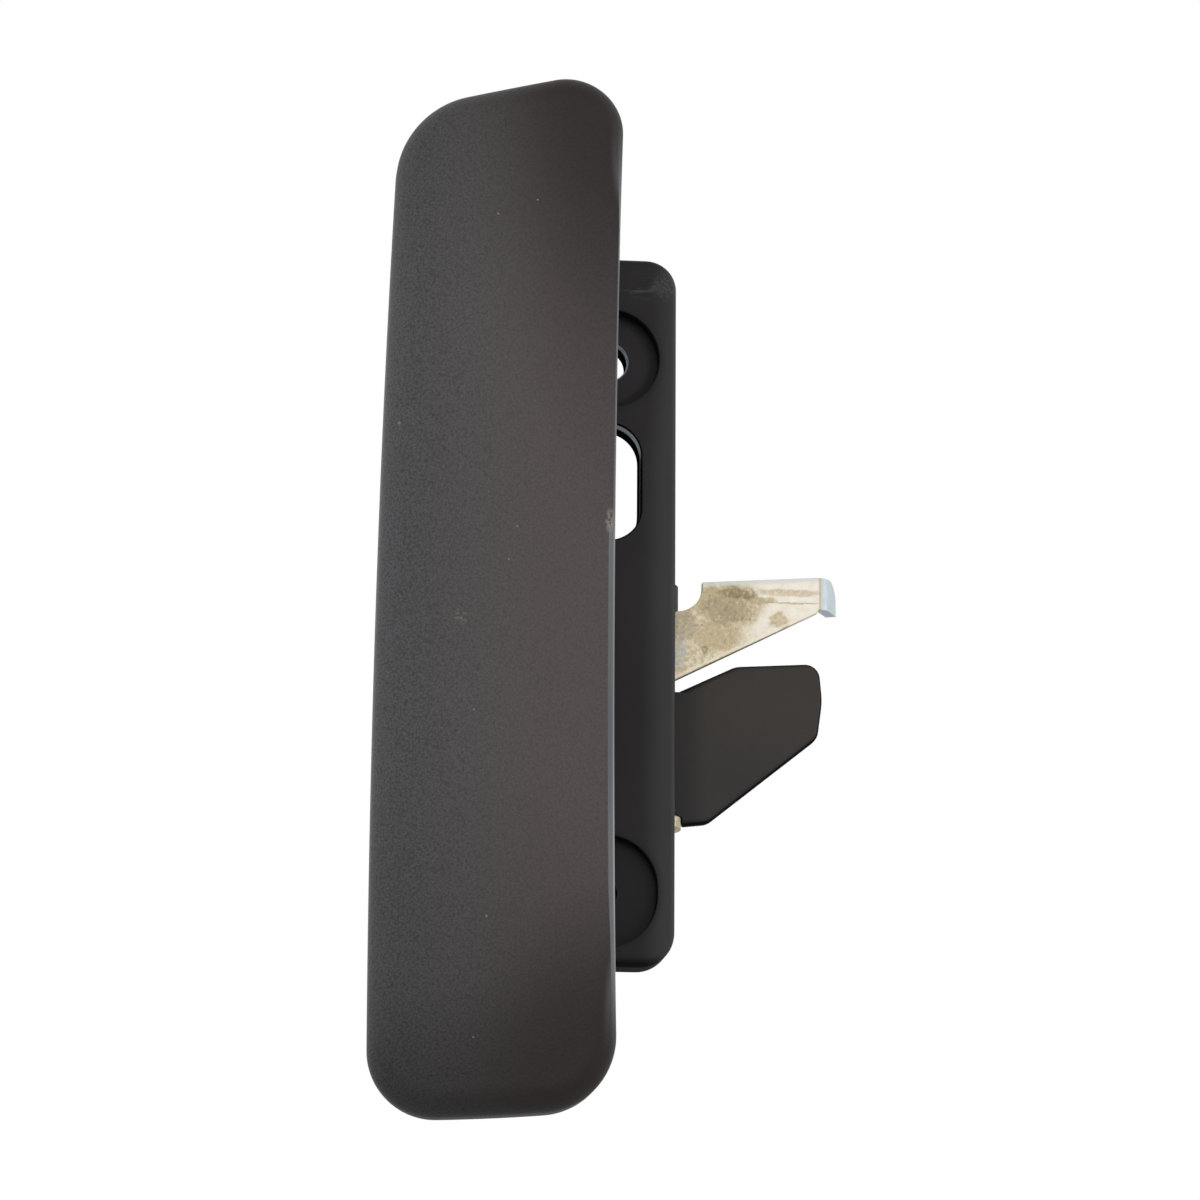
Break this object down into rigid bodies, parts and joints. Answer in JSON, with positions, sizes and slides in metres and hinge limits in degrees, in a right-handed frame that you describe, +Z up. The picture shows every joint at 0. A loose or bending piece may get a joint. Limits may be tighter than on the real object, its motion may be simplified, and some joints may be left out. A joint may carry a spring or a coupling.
{
  "type": "vehicle door handle",
  "caption": "Exterior door handle with an upright pull grip on a narrow base plate, turning about a hidden upright pin and swinging a release lever behind the door skin.",
  "frame": {"origin": "midway between the two fixing holes, on the plane where the base plate seats on the door skin", "axes": "+X to the right as seen from outside, +Y into the door, +Z up along the grip"},
  "size_m": [0.0796, 0.0472, 0.1714],
  "materials": {
    "grip_grained": "fine leather grain",
    "rocker_plastic": "satin moulded",
    "plate_plastic": "satin moulded",
    "gasket_foam": "closed-cell foam",
    "pin_steel": "zinc plated",
    "zinc_steel": "yellow zinc, stained",
    "spring_steel": "drawn wire",
    "screw_steel": "zinc plated",
    "bush_nylon": "natural",
    "buffer_rubber": "matt"
  },
  "bodies": {
    "base": {"base_plate": "plate_plastic", "seal_gasket": "gasket_foam", "hinge_pin": "pin_steel", "pin_clip": "pin_steel", "pin_washer": "pin_steel", "spring_sleeve": "bush_nylon", "return_spring": "spring_steel", "closing_buffer_upper": "buffer_rubber", "closing_buffer_lower": "buffer_rubber"},
    "grip": {"rocker": "rocker_plastic", "grip_cover": "grip_grained", "hub_bush_upper": "bush_nylon", "hub_bush_lower": "bush_nylon", "cover_screw_1": "screw_steel", "cover_screw_2": "screw_steel", "cover_screw_3": "screw_steel", "cover_screw_4": "screw_steel", "cover_screw_5": "screw_steel", "cover_screw_6": "screw_steel"},
    "release": {"release_lever": "zinc_steel", "ear_bush_upper": "bush_nylon", "ear_bush_lower": "bush_nylon"}
  },
  "joints": [
    {"name": "grip_hinge", "type": "hinge", "parent": "base", "child": "grip", "pos_m": [0.008, 0.008, 0], "axis": [0, 0, 1], "range_deg": [0, 24], "stiffness_Nm_per_rad": 0.9, "springref_deg": -14.32, "deforming": ["return_spring"]},
    {"name": "release_lever_hinge", "type": "hinge", "parent": "base", "child": "release", "pos_m": [0.008, 0.008, 0], "axis": [0, 0, 1], "range_deg": [0, 24]}
  ],
  "couplings": [
    {"joint": "release_lever_hinge", "follows": "grip_hinge", "ratio": 1}
  ]
}
